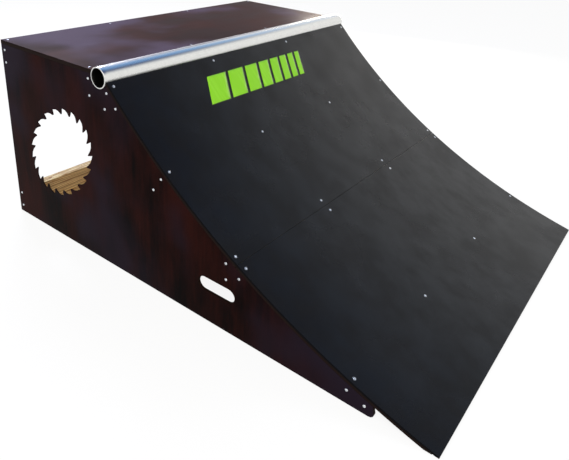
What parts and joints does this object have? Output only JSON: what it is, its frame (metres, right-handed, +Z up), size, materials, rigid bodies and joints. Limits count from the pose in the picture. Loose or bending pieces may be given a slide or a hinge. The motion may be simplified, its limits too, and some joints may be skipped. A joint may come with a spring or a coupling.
{
  "type": "quarter pipe skate ramp",
  "caption": "Low quarter pipe skate ramp with plywood sides, a saw-blade cut-out and hand slot, pine joists, a curved two-layer ride surface, a flat deck and a steel coping pipe.",
  "frame": {"origin": "middle of the footprint on the ground", "axes": "+Z up, +Y towards the open back under the deck, -Y towards the toe of the ride surface, +X across to the right-hand side panel"},
  "size_m": [1.21, 1.533, 0.615],
  "materials": {
    "film_ply": "phenolic film faced plywood, satin, dark maroon brown",
    "deck_ply": "film faced plywood, satin, purple brown",
    "ride_sheet": "black resin and paper laminate, satin",
    "underlay_ply": "bending plywood, dark stained",
    "pine": "planed pine, bare",
    "coping_steel": "galvanised and worn bright by grinding",
    "screw_zinc": "bright zinc plate"
  },
  "bodies": {
    "root": {"side_panel_right": "film_ply", "side_panel_left": "film_ply", "back_top_rail": "pine", "back_bottom_rail": "pine", "deck_front_joist": "pine", "top_flat_joist": "pine", "top_batten": "pine", "mid_joist": "pine", "seam_flat_joist": "pine", "seam_batten": "pine", "nose_joist": "pine", "deck_panel": "deck_ply", "ride_sheet_upper": "ride_sheet", "ride_sheet_lower": "ride_sheet", "underlay_upper": "underlay_ply", "underlay_lower": "underlay_ply", "coping_pipe": "coping_steel", "top_screw_1": "screw_zinc", "top_screw_2": "screw_zinc", "top_screw_3": "screw_zinc", "top_screw_4": "screw_zinc", "mid_screw_1": "screw_zinc", "mid_screw_2": "screw_zinc", "mid_screw_3": "screw_zinc", "mid_screw_4": "screw_zinc", "seam_upper_screw_1": "screw_zinc", "seam_upper_screw_2": "screw_zinc", "seam_upper_screw_3": "screw_zinc", "seam_upper_screw_4": "screw_zinc", "seam_lower_screw_1": "screw_zinc", "seam_lower_screw_2": "screw_zinc", "seam_lower_screw_3": "screw_zinc", "seam_lower_screw_4": "screw_zinc", "nose_screw_1": "screw_zinc", "nose_screw_2": "screw_zinc", "nose_screw_3": "screw_zinc", "nose_screw_4": "screw_zinc", "deck_back_screw_1": "screw_zinc", "deck_back_screw_2": "screw_zinc", "deck_back_screw_3": "screw_zinc", "deck_back_screw_4": "screw_zinc", "deck_front_screw_1": "screw_zinc", "deck_front_screw_2": "screw_zinc", "deck_front_screw_3": "screw_zinc", "deck_front_screw_4": "screw_zinc", "tab_screw_1_1": "screw_zinc", "tab_screw_1_2": "screw_zinc", "tab_screw_2_1": "screw_zinc", "tab_screw_2_2": "screw_zinc", "tab_screw_3_1": "screw_zinc", "tab_screw_3_2": "screw_zinc"}
  },
  "joints": []
}
